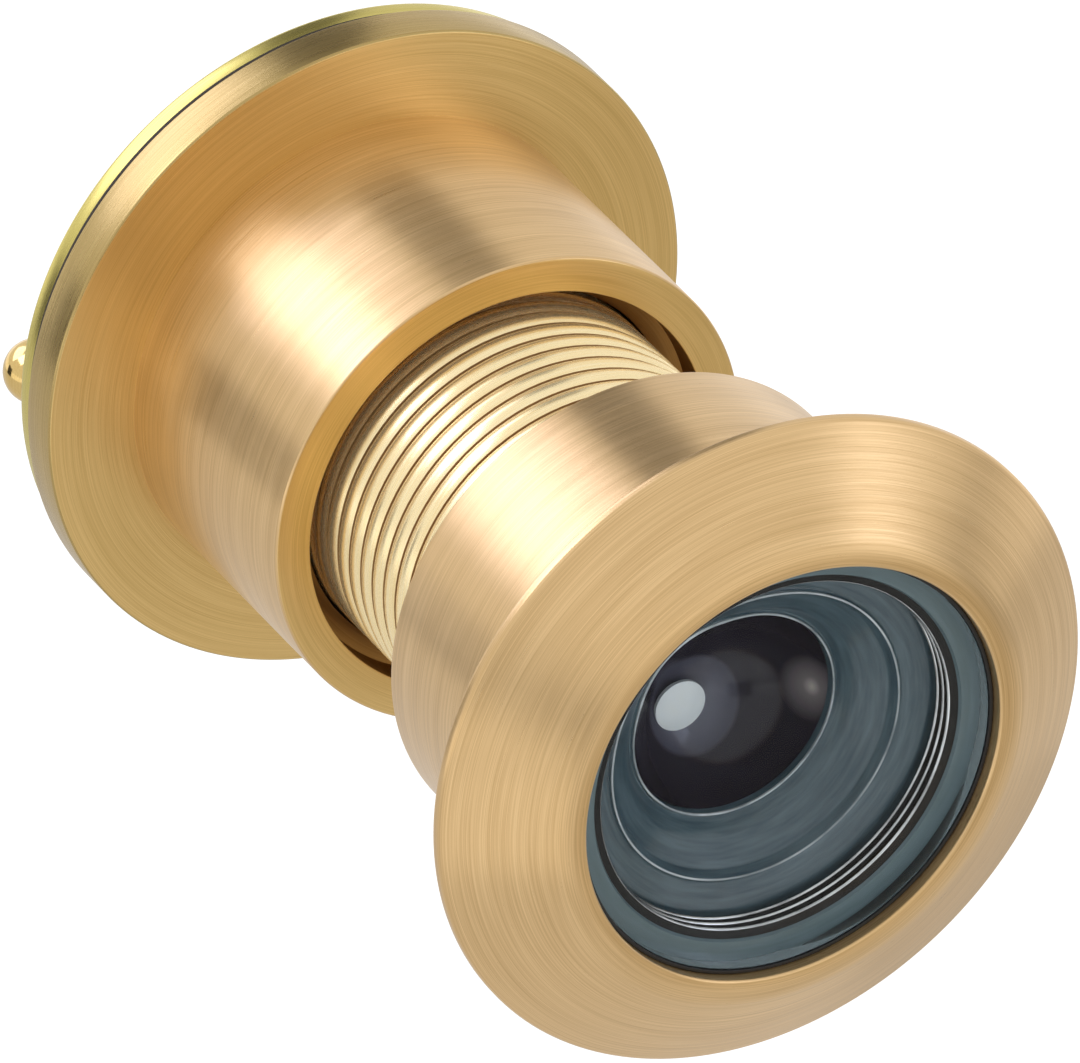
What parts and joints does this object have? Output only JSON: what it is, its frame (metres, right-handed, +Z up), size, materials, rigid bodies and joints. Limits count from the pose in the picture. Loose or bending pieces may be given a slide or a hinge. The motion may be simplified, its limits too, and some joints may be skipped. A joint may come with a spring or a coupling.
{
  "type": "door viewer",
  "caption": "Brass wide-angle door viewer in two screwed halves with a lens stack, an eyepiece and a friction-held swing cover with a ball knob.",
  "frame": {"origin": "centre of the hole in the door at the door's outer face, where the outer flange seats", "axes": "+Z up; the optical axis is Y, the front lens looks to -Y and the swing cover is at +Y; +X is towards the cover's pivot"},
  "size_m": [0.038, 0.0547, 0.038],
  "materials": {
    "satin_brass": "satin, turned",
    "polished_brass": "polished",
    "optical_glass": "coated optical",
    "black_metal": "matt black paint",
    "seal_rubber": "matt",
    "spring_steel": "plain"
  },
  "bodies": {
    "outer_half": {"outer_housing": "satin_brass", "front_seal": "seal_rubber", "front_lens": "optical_glass", "front_spacer": "black_metal", "second_lens": "optical_glass", "lens_cell": "black_metal", "third_lens": "optical_glass", "rear_spacer": "black_metal", "fourth_lens": "optical_glass", "field_stop": "black_metal", "lens_retaining_ring": "black_metal"},
    "eyepiece": {"eyepiece_lens": "optical_glass"},
    "inner_half": {"inner_housing": "satin_brass", "eyepiece_seal": "seal_rubber", "eyepiece_retaining_ring": "satin_brass", "cover_pivot_rivet": "polished_brass", "cover_friction_washer": "spring_steel"},
    "cover": {"cover_plate": "polished_brass", "cover_knob": "polished_brass"}
  },
  "joints": [
    {"name": "inner_travel", "type": "slide", "parent": "outer_half", "child": "eyepiece", "axis": [0, 1, 0], "range_m": [-0.0073, 0.0027]},
    {"name": "inner_turn", "type": "hinge", "parent": "eyepiece", "child": "inner_half", "pos_m": [0, 0, 0], "axis": [0, 1, 0], "range_deg": [-2100, 770]},
    {"name": "cover_swing", "type": "hinge", "parent": "inner_half", "child": "cover", "pos_m": [0.0155, 0.0458, 0], "axis": [0, 1, 0], "range_deg": [-150, 150]}
  ],
  "couplings": [
    {"joint": "inner_travel", "follows": "inner_turn", "m_per_rad": 0.00019894}
  ]
}
